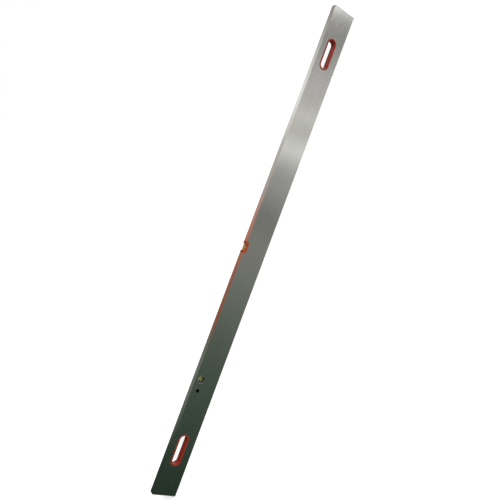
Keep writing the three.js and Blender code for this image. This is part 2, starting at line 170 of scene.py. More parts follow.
class WindowSettings(bpy.types.PropertyGroup):
    play: length_setting("Lens play", "Gap round each lens", 0.2 * MM)
    seat_gap: length_setting("Seat gap", "Gap between flange and face", 0.1 * MM)
    sleeve: length_setting("Sleeve", "Sleeve's wall outside the lens groove", 0.8 * MM)
    step: length_setting("Step", "Depth of the lens groove from inside", 0.7 * MM)
    lip: length_setting("Lip", "Depth of the lens groove from the mouth", 1.3 * MM)
    half_gap: length_setting("Half gap", "Each half's distance from the middle", 0.15 * MM)
    web: length_setting("Web", "How far each half's web reaches", 2.6 * MM)
    edge: length_setting("Edge", "Radius of the frame's edges", 0.5 * MM)
    lens_edge: length_setting("Lens edge", "Radius of the lens's rims", 0.2 * MM)
    bed_play: length_setting("Bed play", "Gap round the tube in its bed", 0.25 * MM)
    seat_inner: length_setting("Seat inner", "Where each seat starts", 11.2 * MM)
    seat_outer: length_setting("Seat outer", "Where each seat ends", 14 * MM)
    seat_half: length_setting("Seat half", "Half width of each seat", 6.5 * MM)
    seat_depth: length_setting("Seat depth", "Depth of each seat", 7 * MM)
    seat_edge: length_setting("Seat edge", "Radius of each seat's edges", 0.4 * MM)


class CapSettings(bpy.types.PropertyGroup):
    flange: length_setting("Flange", "Thickness of the cap's flange", 2 * MM)
    edge: length_setting("Edge round", "Radius of the flange's outer edge", 0.7 * MM)
    border: length_setting("Border", "Width of the border round the sunk panel", 4 * MM)
    sunk: length_setting("Sunk", "Depth of the sunk panel in the flange", 0.35 * MM)
    wall: length_setting("Plug wall", "Wall of the hollow plugs", 2 * MM)
    colour: colour_setting("Cap", "Colour of the end caps", (0.055, 0.038, 0.033))


class StageSettings(bpy.types.PropertyGroup):
    floor: colour_setting("Floor", "Colour of the studio floor", (0.92, 0.92, 0.92))
    floor_size: length_setting("Floor size", "Side of the studio floor", 60)
    floor_glow: FloatProperty(name="Floor glow", description="Light of the floor's own",
                              default=0.3)
    sky: FloatProperty(name="Sky", description="Strength of the soft light all round",
                       default=0.62)
    key: FloatProperty(name="Key", description="Strength of the soft key light", default=2.4)
    key_from: FloatVectorProperty(name="Key from", description="Direction of the key light",
                                  default=(0.69, -0.52, 0.5), subtype="DIRECTION")
    lens: FloatProperty(name="Lens", description="Focal length of the camera", default=37.19)
    position: FloatVectorProperty(name="Camera", description="Camera position",
                                  default=(-0.0407, -1.7286, 1.0736), subtype="TRANSLATION")
    rotation: FloatVectorProperty(name="Camera rotation", description="Camera rotation",
                                  default=[math.radians(a) for a in (31.803, 53.708, -53.689)],
                                  subtype="EULER")


# ---- mesh helpers --------------------------------------------------------------------------
ALONG = {
    "x": Matrix(((0, 0, 1, 0), (1, 0, 0, 0), (0, 1, 0, 0), (0, 0, 0, 1))),
    "y": Matrix.Rotation(math.radians(90), 4, "X"),
    "z": Matrix.Identity(4),
}
ABOUT = {
    "x": Matrix.Rotation(math.radians(90), 4, "Y"),
    "y": Matrix.Rotation(math.radians(-90), 4, "X"),
    "z": Matrix.Identity(4),
}


def to_object(bm, name):
    """Merges, closes and turns a bmesh's faces outwards, and makes it an object."""
    bmesh.ops.remove_doubles(bm, verts=bm.verts, dist=MERGE)
    bmesh.ops.recalc_face_normals(bm, faces=bm.faces)
    mesh = bpy.data.meshes.new(name)
    bm.to_mesh(mesh)
    bm.free()
    made = bpy.data.objects.new(name, mesh)
    bpy.context.scene.collection.objects.link(made)
    return made


def rounded_outline(width, height, radius, segments, lower_only=False):
    """One flat face: a rectangle in XY, centred on the origin, with rounded corners."""
    bm = bmesh.new()
    bmesh.ops.create_grid(bm, x_segments=1, y_segments=1, size=0.5)
    bmesh.ops.scale(bm, vec=(width, height, 1), verts=bm.verts)
    corners = [v for v in bm.verts if not lower_only or v.co.y < 0]
    bmesh.ops.bevel(bm, geom=corners, offset=radius, offset_type="OFFSET", segments=segments,
                    profile=0.5, affect="VERTICES", material=-1, clamp_overlap=False)
    bmesh.ops.remove_doubles(bm, verts=bm.verts, dist=MERGE)
    return bm


def round_edges(bm, edges, width, segments, clamped=False):
    bmesh.ops.bevel(bm, geom=edges, offset=width, offset_type="OFFSET", segments=segments,
                    profile=0.5, affect="EDGES", material=-1, clamp_overlap=clamped)


def extruded(bm, depth, axis, middle, edge=0):
    """Extrudes a flat face along an axis, centred on a point, and may round its two rims."""
    faces = bm.faces[:]
    rim = bmesh.ops.extrude_face_region(bm, geom=faces)["geom"]
    moved = [item for item in rim if isinstance(item, bmesh.types.BMVert)]
    bmesh.ops.translate(bm, vec=(0, 0, depth), verts=moved)
    bmesh.ops.translate(bm, vec=(0, 0, -depth / 2), verts=bm.verts)
    bmesh.ops.recalc_face_normals(bm, faces=bm.faces)
    if edge > 0:
        ends = [e for e in bm.edges if abs(e.verts[0].co.z - e.verts[1].co.z) < MERGE]
        round_edges(bm, ends, edge, EDGE_SEGMENTS)
    bm.transform(Matrix.Translation(middle) @ ALONG[axis])
    bm.normal_update()
    return bm


def spun(points, axis, middle, steps, closed=False):
    """A profile of (radius, place along the axis) points, spun about an axis."""
    bm = bmesh.new()
    verts = [bm.verts.new((radius, 0, along)) for radius, along in points]
    pairs = list(zip(verts, verts[1:]))
    if closed:
        pairs.append((verts[-1], verts[0]))
    edges = [bm.edges.new(pair) for pair in pairs]
    bmesh.ops.spin(bm, geom=verts + edges, cent=(0, 0, 0), axis=(0, 0, 1), angle=math.tau,
                   steps=steps, use_merge=True)
    bmesh.ops.remove_doubles(bm, verts=bm.verts, dist=MERGE)
    bm.transform(Matrix.Translation(middle) @ ABOUT[axis])
    bm.normal_update()
    return bm


def rod(radius, from_, to, axis, middle, steps):
    """A plain round cutter between two places along an axis through a point."""
    return spun([(0, from_), (radius, from_), (radius, to), (0, to)], axis, middle, steps)


def block(low, high, edge=0):
    """A box between two corners, with its edges rounded where asked."""
    bm = bmesh.new()
    bmesh.ops.create_cube(bm, size=1)
    bmesh.ops.scale(bm, vec=Vector(high) - Vector(low), verts=bm.verts)
    bmesh.ops.translate(bm, vec=(Vector(low) + Vector(high)) / 2, verts=bm.verts)
    if edge > 0:
        round_edges(bm, bm.edges[:], edge, EDGE_SEGMENTS)
    return bm


def arc(middle, radius, start, end, steps):
    """Points on an arc, as (radius, along) pairs, with the angles in degrees."""
    angles = [math.radians(start + (end - start) * i / steps) for i in range(steps + 1)]
    return [(middle[0] + radius * math.cos(a), middle[1] + radius * math.sin(a)) for a in angles]


def settle(target):
    """Applies an object's modifiers to its mesh."""
    graph = bpy.context.evaluated_depsgraph_get()
    mesh = bpy.data.meshes.new_from_object(target.evaluated_get(graph))
    old = target.data
    target.modifiers.clear()
    target.data = mesh
    bpy.data.meshes.remove(old)


def combine(target, bodies, operation):
    """Cuts bmesh bodies out of an object, or joins them to it."""
    tools = [to_object(bm, "tool") for bm in bodies]
    for tool in tools:
        step = target.modifiers.new("combine", "BOOLEAN")
        step.operation = operation
        step.solver = "EXACT"
        step.object = tool
    settle(target)
    for tool in tools:
        mesh = tool.data
        bpy.data.objects.remove(tool)
        bpy.data.meshes.remove(mesh)


def rounded_ends(radius, half, edge):
    """The outer wall of a spun piece, with both rims rounded."""
    return [*arc((radius - edge, edge - half), edge, -90, 0, RIM_STEPS),
            *arc((radius - edge, half - edge), edge, 0, 90, RIM_STEPS)]


def soften(target, width, chosen):
    """Bevels the sharp edges that `chosen` picks."""
    bm = bmesh.new()
    bm.from_mesh(target.data)
    bmesh.ops.remove_doubles(bm, verts=bm.verts, dist=MERGE)
    sharp = [e for e in bm.edges if len(e.link_faces) == 2
             and e.calc_face_angle() > SHARP_ANGLE and chosen(e)]
    round_edges(bm, sharp, width, BURR_SEGMENTS, clamped=True)
    bm.to_mesh(target.data)
    bm.free()


def finish_piece(piece, nodes, material, body=BAR):
    """Shades a piece, gives it its finish, hides its CAD nodes and parents it to its body's empty."""
    piece.data.materials.clear()
    piece.data.materials.append(material)
    piece.data.shade_smooth()
    piece.data.set_sharp_from_angle(angle=SHARP_ANGLE)
    flat = piece.modifiers.new("even_shading", "WEIGHTED_NORMAL")
    flat.keep_sharp = True
    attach(piece, body)
    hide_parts(*nodes)


# ---- shader helpers ------------------------------------------------------------------------
class Value:
    """A number socket that takes part in Python arithmetic by adding Math nodes."""

    def __init__(self, graph, socket):
        self.graph = graph
        self.socket = socket

    def math(self, operation, other, swapped=False):
        pair = (other, self) if swapped else (self, other)
        return self.graph.node("ShaderNodeMath", {"operation": operation}, dict(enumerate(pair)))

    def __add__(self, other):
        return self.math("ADD", other)

    def __sub__(self, other):
        return self.math("SUBTRACT", other)

    def __rsub__(self, other):
        return self.math("SUBTRACT", other, swapped=True)

    def __mul__(self, other):
        return self.math("MULTIPLY", other)

    def __pow__(self, other):
        return self.math("POWER", other)

    __radd__ = __add__
    __rmul__ = __mul__

    def step(self, low, high):
        """Rises smoothly from 0 at `low` to 1 at `high`."""
        return self.graph.node("ShaderNodeMapRange", {"interpolation_type": "SMOOTHSTEP"},
                               {"Value": self, "From Min": low, "From Max": high})


class Graph:
    """A node tree, with one method that adds any node."""

    def __init__(self, tree):
        self.tree = tree

    def node(self, kind, settings=None, inputs=None, output=0):
        made = self.tree.nodes.new(kind)
        for name, value in (settings or {}).items():
            if name == "stops":
                self.set_stops(made.color_ramp, value)
            else:
                setattr(made, name, value)
        for key, value in (inputs or {}).items():
            self.feed(made.inputs[key], value)
        return Value(self, made.outputs[output])

    def feed(self, socket, value):
        if isinstance(value, Value):
            self.tree.links.new(value.socket, socket)
        else:
            socket.default_value = value

    @staticmethod
    def set_stops(ramp, stops):
        while len(ramp.elements) < len(stops):
            ramp.elements.new(1.0)
        for element, (place, colour) in zip(ramp.elements, stops):
            element.position = place
            element.color = (*colour, 1.0)

    def place(self, scale=(1, 1, 1), rotation=(0, 0, 0), location=(0, 0, 0)):
        """Object coordinates, moved, turned and scaled."""
        coords = self.node("ShaderNodeTexCoord", output="Object")
        return self.node("ShaderNodeMapping", None, {
            "Vector": coords, "Scale": scale, "Rotation": rotation, "Location": location})

    def noise(self, scale, detail=3.0, roughness=0.5, stretch=(1, 1, 1), rotation=(0, 0, 0)):
        return self.node("ShaderNodeTexNoise", None, {
            "Vector": self.place(stretch, rotation), "Scale": scale, "Detail": detail,
            "Roughness": roughness})

    def mix(self, factor, first, second):
        return self.node("ShaderNodeMix", {"data_type": "RGBA"},
                         {0: factor, 6: first, 7: second}, output=2)

    def bump(self, height, distance, strength):
        return self.node("ShaderNodeBump", None, {
            "Height": height, "Distance": distance, "Strength": strength})


def new_finish(name, **constants):
    """A material, its graph and its shader's inputs, with the constant sockets set."""
    material = bpy.data.materials.new(name)
    material.use_nodes = True
    graph = Graph(material.node_tree)
    shader = material.node_tree.nodes["Principled BSDF"]
    for socket, value in constants.items():
        shader.inputs[socket.replace("_", " ")].default_value = value
    return material, graph, shader.inputs


def shade(colour, factor):
    return (*(channel * factor for channel in colour), 1.0)


# ---- finishes ------------------------------------------------------------------------------
def extruded_aluminium(colour):
    """Mill finish: fine draw lines along the bar, faint die streaks and handling smudges."""
    material, graph, sockets = new_finish("extruded_aluminium", Metallic=1.0)
    lines = graph.noise(1.0, detail=4.0, roughness=0.65, stretch=(1.5, 1400, 1400))
    streaks = graph.noise(1.0, detail=3.0, roughness=0.6, stretch=(0.35, 110, 110))
    smudges = graph.noise(9.0, detail=4.0, roughness=0.6, stretch=(1, 2, 2))
    scuffs = graph.noise(1.0, detail=2.0, stretch=(60, 900, 900), rotation=(0, 0.5, 0.3))
    worn = scuffs.step(0.66, 0.72) * smudges.step(0.45, 0.6)
    tone = streaks * 0.5 + smudges * 0.3 + lines * 0.2
    graph.feed(sockets["Base Color"],
               graph.mix(tone.step(0.3, 0.7), shade(colour, 0.93), shade(colour, 1.05)))
    graph.feed(sockets["Roughness"], 0.06 + lines * 0.03 + smudges * 0.04 + worn * 0.05)
    height = lines * 0.6 + streaks * 0.3 - worn * 0.4
    graph.feed(sockets["Normal"], graph.bump(height, 0.006 * MM, 0.5))
    return material


def moulded_plastic(name, colour, grain, gloss):
    """Injection-moulded plastic: fine grain, slight mottling and uneven gloss."""
    material, graph, sockets = new_finish(name, Specular_IOR_Level=PLASTIC_SHINE)
    mottle = graph.noise(140.0, detail=4.0, roughness=0.6)
    pebble = graph.noise(2600.0, detail=2.0)
    rubbed = graph.noise(35.0, detail=5.0, roughness=0.65).step(0.52, 0.7)
    tone = mottle * 0.7 + rubbed * 0.3
    graph.feed(sockets["Base Color"],
               graph.mix(tone.step(0.25, 0.75), shade(colour, 0.85), shade(colour, 1.12)))
    graph.feed(sockets["Roughness"], gloss + mottle * 0.12 - rubbed * 0.08)
    graph.feed(sockets["Normal"], graph.bump(pebble * 0.7 + mottle * 0.3, grain, 0.5))
    return material


def frame_plastic(outer, web, depth):
    """Glossy dark grey moulding, with the web behind the vial painted a paler grey as painted light that
    lifts the shade in the window's recess.
    """
    material, graph, sockets = new_finish("frame_plastic", Coat_Weight=1.0, Coat_Roughness=0.1)
    split = graph.node("ShaderNodeSeparateXYZ", None, {0: graph.place()}).socket.node
    across = Value(graph, split.outputs["Y"])
    # Mask of the painted light: the paler web grey holds inside the recess and fades to the frame's grey
    # towards the faces.
    outside_painted_light = (across * across).step(depth ** 2, (1.2 * depth) ** 2)
    mottle = graph.noise(300.0, detail=3.0)
    tone = graph.mix(outside_painted_light, shade(web, 1.0), shade(outer, 1.0))
    graph.feed(sockets["Base Color"], graph.mix(mottle.step(0.3, 0.7) * 0.3, tone,
                                                shade(outer, 0.8)))
    graph.feed(sockets["Roughness"], 0.28 + mottle * 0.12)
    graph.feed(sockets["Normal"], graph.bump(mottle, 0.01 * MM, 0.4))
    return material


def tinted_acrylic(colour):
    """Acrylic that looks yellow-green from the spirit in its bore and lets the bubble show."""
    material, graph, sockets = new_finish("spirit_acrylic", Transmission_Weight=0.35, Alpha=0.4, IOR=1.38,
                                          Coat_Weight=0.4, Coat_Roughness=0.05)
    depth = graph.noise(90.0, detail=2.0)
    graph.feed(sockets["Base Color"],
               graph.mix(depth.step(0.3, 0.7), shade(colour, 0.88), shade(colour, 1.1)))
    graph.feed(sockets["Roughness"], 0.04 + graph.noise(400.0) * 0.05)
    return material


def filled_acrylic(colour, spirit, axis, bore):
    """An amber acrylic block, tinted by the spirit at its bore, that lets the bubble show."""
    material, graph, sockets = new_finish("filled_acrylic", Transmission_Weight=0.3, Alpha=0.45, IOR=1.3)
    split = graph.node("ShaderNodeSeparateXYZ", None, {0: graph.place(location=-axis)})
    outputs = split.socket.node.outputs
    across, up = Value(graph, outputs["Y"]), Value(graph, outputs["Z"])
    radius = (across * across + up * up) ** 0.5
    cloud = graph.noise(160.0, detail=2.0)
    filled = graph.mix(cloud.step(0.35, 0.65), shade(spirit, 0.9), shade(spirit, 1.15))
    graph.feed(sockets["Base Color"],
               graph.mix(radius.step(1.15 * bore, 1.3 * bore), filled, shade(colour, 1.0)))
    graph.feed(sockets["Roughness"], 0.03 + cloud * 0.05)
    return material


def clear_acrylic():
    """A clear moulded lens with a faint haze of fine scratches."""
    material, graph, sockets = new_finish("clear_acrylic", Transmission_Weight=1.0, IOR=1.1)
    scratches = graph.noise(1.0, detail=3.0, stretch=(300, 2500, 900), rotation=(0, 0.7, 0))
    graph.feed(sockets["Base Color"], graph.mix(scratches, (0.95, 0.97, 0.95, 1), (1, 1, 1, 1)))
    graph.feed(sockets["Roughness"], 0.02 + scratches.step(0.6, 0.75) * 0.12)
    return material


def gas_bubble():
    """The pale, bright bubble in the spirit."""
    material, graph, sockets = new_finish("gas_bubble", Transmission_Weight=0.3, IOR=1.2)
    rim = graph.noise(500.0, detail=1.0)
    graph.feed(sockets["Base Color"],
               graph.mix(rim, (0.86, 0.93, 0.45, 1), (0.95, 0.98, 0.7, 1)))
    graph.feed(sockets["Roughness"], 0.08 + rim * 0.05)
    return material


def zinc_plate():
    """Bright zinc plating with a faint patchy passivation."""
    material, graph, sockets = new_finish("zinc_plate", Metallic=1.0)
    patches = graph.noise(700.0, detail=4.0)
    graph.feed(sockets["Base Color"],
               graph.mix(patches, (0.62, 0.60, 0.52, 1), (0.72, 0.73, 0.74, 1)))
    graph.feed(sockets["Roughness"], 0.22 + patches * 0.18)
    graph.feed(sockets["Normal"], graph.bump(patches, 0.01 * MM, 0.5))
    return material


# ---- the aluminium bar ---------------------------------------------------------------------
def chamber_spans(profile, height):
    """The three chambers between the webs, as (floor, ceiling) heights."""
    half = profile.web / 2
    webs = (profile.lower_web, profile.upper_web)
    floors = (profile.edge_wall, *(web + half for web in webs))
    ceilings = (*(web - half for web in webs), height - profile.edge_wall)
    return list(zip(floors, ceilings))


def chamber_body(profile, span, depth, inset, from_, to):
    """A bar that fills one chamber from one place along X to another, with a gap all round."""
    floor, ceiling = span
    outline = rounded_outline(depth - 2 * (profile.face_wall + inset),
                              ceiling - floor - 2 * inset, profile.chamber_corner,
                              EDGE_SEGMENTS)
    middle = ((from_ + to) / 2, 0, (floor + ceiling) / 2)
    return extruded(outline, to - from_, "x", middle)


class STRAIGHTEDGE_OT_profile(bpy.types.Operator):
    """Models the hollow aluminium bar with its slots, notch, window and peg hole"""
    bl_idname = "straightedge.profile"
    bl_label = "Aluminium profile"

    def execute(self, context):
        profile = context.scene.straightedge_profile
        slots = context.scene.straightedge_slots
        shank = context.scene.straightedge_screws.shank
        size = box_size("straightedge_profile")
        through = 3 * size.y
        outline = rounded_outline(size.y, size.z, profile.corner, CORNER_SEGMENTS)
        bar = to_object(extruded(outline, size.x, "x", box_middle("straightedge_profile")),
                        "profile")
        cuts = [chamber_body(profile, span, size.y, 0, -size.x, size.x)
                for span in chamber_spans(profile, size.z)]
        cuts += [self.slot_cut(slots, end, through) for end in ENDS]
        cuts.append(self.notch_cut(profile, size.z, through))
        window = box_middle("plumb_vial_tube")
        cuts.append(rod(profile.window, -through, through, "y", window, WIDE_TURN))
        peg = Vector((window.x - profile.peg_offset, 0, profile.peg_height))
        cuts.append(rod(profile.peg_radius, -through, through, "y", peg, SMALL_TURN))
        for end in ENDS:
            screw = box_middle(f"level_screw_{end}")
            cuts.append(rod(shank + slots.play, -profile.upper_web / 4, profile.upper_web / 8,
                            "z", screw, SMALL_TURN // 2))
        combine(bar, cuts, "DIFFERENCE")
        outside = size.y / 2 - MERGE
        short_of_ends = size.x / 2 - MM
        soften(bar, profile.burr, lambda e: all(abs(v.co.y) > outside for v in e.verts)
               and abs(e.verts[0].co.x) < short_of_ends)
        finish_piece(bar, ["straightedge_profile"],
                     extruded_aluminium(profile.colour))
        return {"FINISHED"}

    @staticmethod
    def slot_cut(slots, end, through):
        node = f"hand_slot_{end}_front"
        size = box_size(node)
        middle = box_middle(node)
        height = size.z - 2 * slots.overlap
        outline = rounded_outline(size.x - 2 * slots.overlap, height, height / 2,
                                  SLOT_SEGMENTS)
        return extruded(outline, through, "y", (middle.x, 0, middle.z))

    @staticmethod
    def notch_cut(profile, height, through):
        tall = 2 * profile.notch_depth
        outline = rounded_outline(profile.notch_width, tall, profile.notch_corner,
                                  NOTCH_SEGMENTS, lower_only=True)
        middle = (box_middle("level_saddle").x, 0, height - profile.notch_depth + tall / 2)
        return extruded(outline, through, "y", middle)


# ---- end caps ------------------------------------------------------------------------------
class STRAIGHTEDGE_OT_end_caps(bpy.types.Operator):
    """Models the two end caps with their hollow push-in plugs"""
    bl_idname = "straightedge.end_caps"
    bl_label = "End caps"

    def execute(self, context):
        settings = context.scene.straightedge_caps
        profile = context.scene.straightedge_profile
        play = context.scene.straightedge_slots.play
        finish = moulded_plastic("cap_plastic", settings.colour, 0.02 * MM, 0.42)
        for end, side in ENDS.items():
            self.make(f"end_cap_{end}", side, settings, profile, play, finish)
        return {"FINISHED"}

    @staticmethod
    def make(node, side, settings, profile, play, finish):
        size = box_size(node)
        reach = size.x - settings.flange
        tip = box_middle(node).x + side * size.x / 2
        outline = rounded_outline(size.y, size.z, profile.corner, CORNER_SEGMENTS)
        seat = tip - side * settings.flange
        plate = extruded(outline, settings.flange, "x", ((tip + seat) / 2, 0, size.z / 2))
        outer = [e for e in plate.edges if all(abs(v.co.x - tip) < MERGE for v in e.verts)]
        round_edges(plate, outer, settings.edge, RIM_STEPS)
        panel = [f for f in plate.faces if all(abs(v.co.x - tip) < MERGE for v in f.verts)]
        bmesh.ops.inset_region(plate, faces=panel, thickness=settings.border)
        bmesh.ops.inset_region(plate, faces=panel, thickness=settings.sunk,
                               depth=-settings.sunk)
        cap = to_object(plate, node.replace("end_cap", "cap"))
        inner = seat - side * reach
        for span in chamber_spans(profile, size.z):
            ends = sorted((seat + side * settings.flange / 2, inner))
            hollow = sorted((seat, inner - side * reach))
            plug = to_object(chamber_body(profile, span, size.y, play, *ends), "plug")
            combine(plug, [chamber_body(profile, span, size.y, play + settings.wall, *hollow)],
                    "DIFFERENCE")
            bm = bmesh.new()
            bm.from_mesh(plug.data)
            bpy.data.objects.remove(plug)
            combine(cap, [bm], "UNION")
        finish_piece(cap, [node], finish)


# ---- hand slot liners ----------------------------------------------------------------------
class STRAIGHTEDGE_OT_hand_slots(bpy.types.Operator):
    """Models the front and back halves of both hand slot liners"""
    bl_idname = "straightedge.hand_slots"
    bl_label = "Hand slot liners"

    def execute(self, context):
        settings = context.scene.straightedge_slots
        finish = moulded_plastic("liner_plastic", settings.colour, 0.015 * MM, 0.34)
        for end in ENDS:
            for face in FACES:
                node = f"hand_slot_{end}_{face}"
                bm = self.swept(self.section(settings, node, face == "front"), node)
                if face == "back":
                    bmesh.ops.rotate(bm, matrix=Matrix.Rotation(math.pi, 3, "Z"), verts=bm.verts)
                middle = box_middle(node)
                bmesh.ops.translate(bm, vec=(middle.x, 0, middle.z), verts=bm.verts)
                liner = to_object(bm, f"liner_{end}_{face}")
                finish_piece(liner, [node], finish)
        return {"FINISHED"}

    @staticmethod
    def section(settings, node, slides_inside):
        """The half's section as (distance from the slot's middle line, depth) points."""
        low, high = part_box(node)
        crown = -max(abs(low.y), abs(high.y))
        outer = (high.z - low.z) / 2
        inner = outer - settings.lip
        seat = -box_size("straightedge_profile").y / 2 - settings.seat_gap
        sleeve = outer - settings.overlap - settings.play
        radius = settings.round
        middle = -settings.play / 2
        dome = crown + radius
        points = arc((outer - radius, dome), radius, 0, -90, LIP_STEPS)
        points += arc((inner + radius, dome), radius, -90, -180, LIP_STEPS)
        if slides_inside:
            points += [(inner, settings.lap), (inner + settings.lap_wall, settings.lap),
                       (inner + settings.lap_wall, middle)]
        else:
            room = inner + settings.lap_wall + settings.play
            shelf = -settings.lap - settings.play
            points += [(inner, shelf), (room, shelf), (room, middle)]
        return points + [(sleeve, middle), (sleeve, seat), (outer, seat)]

    @staticmethod
    def swept(points, node):
        """Sweeps a section round the slot: two spun ends, bridged by two straight runs."""
        size = box_size(node)
        centre = (size.x - size.z) / 2
        bm = bmesh.new()
        verts = [bm.verts.new((centre, depth, distance)) for distance, depth in points]
        edges = [bm.edges.new(pair) for pair in zip(verts, verts[1:] + verts[:1])]
        bmesh.ops.spin(bm, geom=verts + edges, cent=(centre, 0, 0), axis=(0, 1, 0),
                       angle=math.pi, steps=SWEEP_STEPS)
        copy = bmesh.ops.duplicate(bm, geom=bm.verts[:] + bm.edges[:] + bm.faces[:])["geom"]
        other = [item for item in copy if isinstance(item, bmesh.types.BMVert)]
        bmesh.ops.rotate(bm, matrix=Matrix.Rotation(math.pi, 3, "Y"), verts=other)
        for side in (1, -1):
            loops = [e for e in bm.edges if e.is_boundary
                     and all(v.co.z * side > 0 for v in e.verts)]
            bmesh.ops.bridge_loops(bm, edges=loops)
        return bm


# ---- level vial ----------------------------------------------------------------------------
def crowned(bore, crown, length):
    """A bore's wall as (radius, along) points, a little wider at mid-length."""
    places = [2 * i / CROWN_STEPS - 1 for i in range(CROWN_STEPS + 1)]
    return [(bore + crown * (1 - t * t), t * length / 2) for t in places]


def bubble_points(node, axis):
    """A rounded bubble's outline, fitted to its node's box."""
    size = box_size(node)
    half = getattr(size, axis) / 2
    radius = size.y / 2
    angles = [math.pi * i / BUBBLE_STEPS for i in range(BUBBLE_STEPS + 1)]
    return [(radius * math.sin(a) ** BUBBLE_FULLNESS, -half * math.cos(a)) for a in angles]


def ring_points(node, axis, wall):
    """A marker line's section, fitted to its node's box."""
    size = box_size(node)
    half = getattr(size, axis) / 2
    outer = size.y / 2
    return [(outer - wall, -half), (outer, -half), (outer, half), (outer - wall, half)]


def plug_points(node, axis, side):
    """A vial plug's outline: a dished outer face with a rounded rim."""
    size = box_size(node)
    half = getattr(size, axis) / 2
    radius = size.y / 2
    rim = radius * 0.12
    points = [(0, -half), (radius, -half)]
    points += arc((radius - rim, half - rim), rim, 0, 90, RIM_STEPS)
    points += [(radius * 0.6, half), (radius * 0.45, half * 0.6), (0, half * 0.5)]
    return [(r, side * along) for r, along in points]


class STRAIGHTEDGE_OT_level_saddle(bpy.types.Operator):
    """Models the orange saddle that holds the level vial in the top edge"""
    bl_idname = "straightedge.level_saddle"
    bl_label = "Level saddle"

    def execute(self, context):
        profile = context.scene.straightedge_profile
        vials = context.scene.straightedge_vials
        screws = context.scene.straightedge_screws
        play = context.scene.straightedge_slots.play
        low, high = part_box("level_saddle")
        bar = box_size("straightedge_profile")
        middle = box_middle("level_saddle")
        floor = bar.z - profile.notch_depth + play
        outline = rounded_outline(high.x - low.x, high.z - floor, profile.notch_corner - play,
                                  NOTCH_SEGMENTS, lower_only=True)
        body = extruded(outline, high.y - low.y, "y", (middle.x, 0, (high.z + floor) / 2),
                        vials.saddle_edge)
        saddle = to_object(body, "level_saddle_body")
        cavity = bar.y / 2 - profile.face_wall - play
        vial_low, vial_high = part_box("level_vial_block")
        foot = block((low.x + vials.foot_inset, -cavity, low.z),
                     (high.x - vials.foot_inset, cavity, vial_low.z))
        combine(saddle, [foot], "UNION")
        gap = Vector((play, play, play))
        pocket = block(vial_low - gap, Vector((vial_high.x + play, vial_high.y + play, bar.z)))
        tall = 2 * vials.window_depth
        outline = rounded_outline(vials.window_width, tall, vials.window_corner,
                                  NOTCH_SEGMENTS, lower_only=True)
        window = extruded(outline, 3 * bar.y, "y",
                          (middle.x, 0, bar.z - vials.window_depth + tall / 2))
        holes = [self.screw_hole(f"level_screw_{end}", screws, play) for end in ENDS]
        combine(saddle, [pocket, window, *holes], "DIFFERENCE")
        soften(saddle, vials.saddle_burr, lambda e: min(v.co.z for v in e.verts) > floor)
        finish_piece(saddle, ["level_saddle"],
                     moulded_plastic("saddle_plastic", vials.saddle, 0.015 * MM, 0.34))
        return {"FINISHED"}

    @staticmethod
    def screw_hole(node, screws, play):
        size = box_size(node)
        points = [(r + play, along - play) if r > 0 else (r, along - play)
                  for r, along in screw_points(size, screws)]
        head = points[-2][0]
        points = points[:-2] + [(head, size.z), (0, size.z)]
        return spun(points, "z", box_middle(node), SMALL_TURN)


def screw_points(size, screws):
    """The countersunk screw's outline, centred on its length."""
    half = size.z / 2
    head = size.x / 2
    shank, taper = screws.shank, screws.taper
    return [(0, -half), (screws.point, -half), (shank, -half + taper), (shank, half - taper),
            (head, half - screws.rim), (head, half), (0, half)]


class STRAIGHTEDGE_OT_saddle_screws(bpy.types.Operator):
    """Models the two countersunk screws of the saddle"""
    bl_idname = "straightedge.saddle_screws"
    bl_label = "Saddle screws"

    def execute(self, context):
        screws = context.scene.straightedge_screws
        finish = zinc_plate()
        for end in ENDS:
            node = f"level_screw_{end}"
            size = box_size(node)
            middle = box_middle(node)
            screw = to_object(spun(self.threaded(size, screws), "z", middle, SMALL_TURN),
                              f"saddle_screw_{end}")
            top = middle.z + size.z / 2
            long, narrow = screws.cross, screws.cross_width
            arms = [block(middle + Vector((-a, -b, size.z / 2 - screws.cross_depth)),
                          Vector((middle.x + a, middle.y + b, top + MM)))
                    for a, b in ((long, narrow), (narrow, long))]
            combine(screw, arms, "DIFFERENCE")
            soften(screw, screws.burr, lambda e: min(v.co.z for v in e.verts) > top - MM / 2)
            finish_piece(screw, [node], finish)
        return {"FINISHED"}

    @staticmethod
    def threaded(size, screws):
        """The screw's outline with the crests and roots of its thread."""
        outline = screw_points(size, screws)
        start = outline[2][1]
        pitch, crest = screws.pitch, screws.shank
        root = crest - screws.thread
        turns = int((outline[3][1] - start) / pitch) - 2
        crests = []
        for turn in range(turns):
            along = start + turn * pitch
            crests += [(root, along + pitch / 4), (crest, along + pitch / 2),
                       (root, along + 3 * pitch / 4)]
        return outline[:2] + crests + outline[3:]


class STRAIGHTEDGE_OT_level_vial(bpy.types.Operator):
    """Models the level vial block, its plugs, marker lines and bubble"""
    bl_idname = "straightedge.level_vial"
    bl_label = "Level vial"

    def execute(self, context):
        vials = context.scene.straightedge_vials
        node = "level_vial_block"
        low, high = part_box(node)
        size = high - low
        body = to_object(block(low, high, vials.block_edge), "level_block")
        axis = box_middle("level_vial_plug_left")
        wall = crowned(vials.level_bore, vials.level_crown, size.x)
        end = size.x / 2 + MM
        bore = [(0, -end), (vials.level_bore, -end), *wall, (vials.level_bore, end), (0, end)]
        middle = Vector((box_middle(node).x, axis.y, axis.z))
        combine(body, [spun(bore, "x", middle, TURN)], "DIFFERENCE")
        finish = filled_acrylic(vials.block, vials.level_spirit, middle, vials.level_bore)
        finish_piece(body, [node], finish)
        vial_fittings("level", "x", ENDS, vials)
        return {"FINISHED"}


